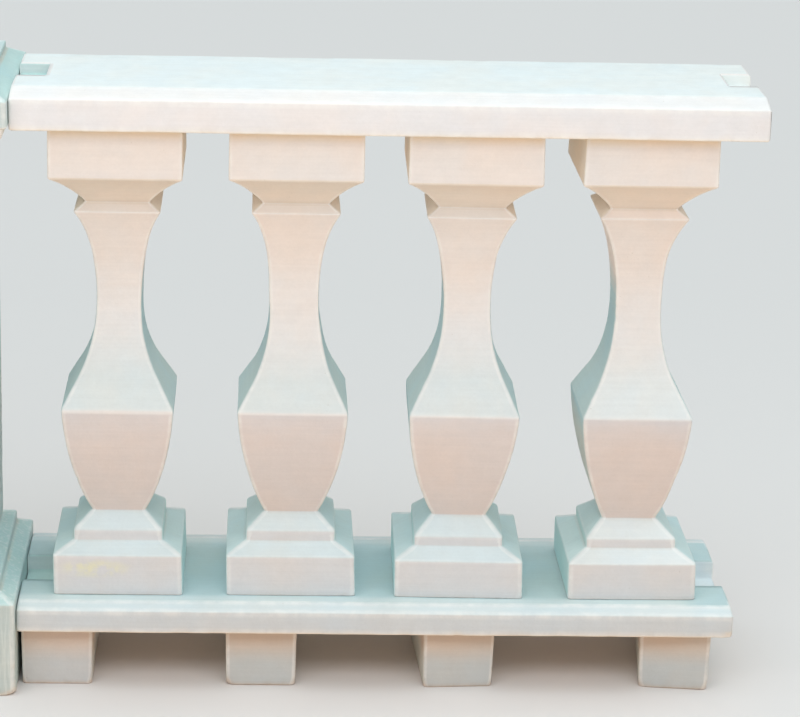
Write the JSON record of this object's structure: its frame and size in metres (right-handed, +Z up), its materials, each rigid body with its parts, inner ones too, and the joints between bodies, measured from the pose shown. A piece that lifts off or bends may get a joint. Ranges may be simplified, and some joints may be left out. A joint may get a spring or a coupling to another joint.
{
  "type": "stone balustrade",
  "caption": "Cast-stone balustrade: bevelled coping and base rail on square vase-shaped balusters, in bays on each side of a capped square pier, on foot blocks.",
  "frame": {"origin": "on the ground, under the middle of the pier", "axes": "+X along the balustrade towards the bay that the picture shows, +Y to the rear, +Z up"},
  "size_m": [2.3246, 0.311, 0.871],
  "materials": {
    "baluster_stone": "matt painted cast stone",
    "rail_stone": "matt painted cast stone",
    "pier_stone": "matt painted cast stone",
    "foot_stone": "matt painted cast stone, a little soiled"
  },
  "bodies": {
    "root": {"pier_base": "pier_stone", "pier_shaft": "pier_stone", "pier_cap": "pier_stone", "right_base_rail": "rail_stone", "right_coping": "rail_stone", "right_foot_1": "foot_stone", "right_foot_2": "foot_stone", "right_foot_3": "foot_stone", "right_foot_4": "foot_stone", "right_baluster_1": "baluster_stone", "right_baluster_2": "baluster_stone", "right_baluster_3": "baluster_stone", "right_baluster_4": "baluster_stone", "left_base_rail": "rail_stone", "left_coping": "rail_stone", "left_foot_1": "foot_stone", "left_foot_2": "foot_stone", "left_foot_3": "foot_stone", "left_foot_4": "foot_stone", "left_baluster_1": "baluster_stone", "left_baluster_2": "baluster_stone", "left_baluster_3": "baluster_stone", "left_baluster_4": "baluster_stone"}
  },
  "joints": []
}
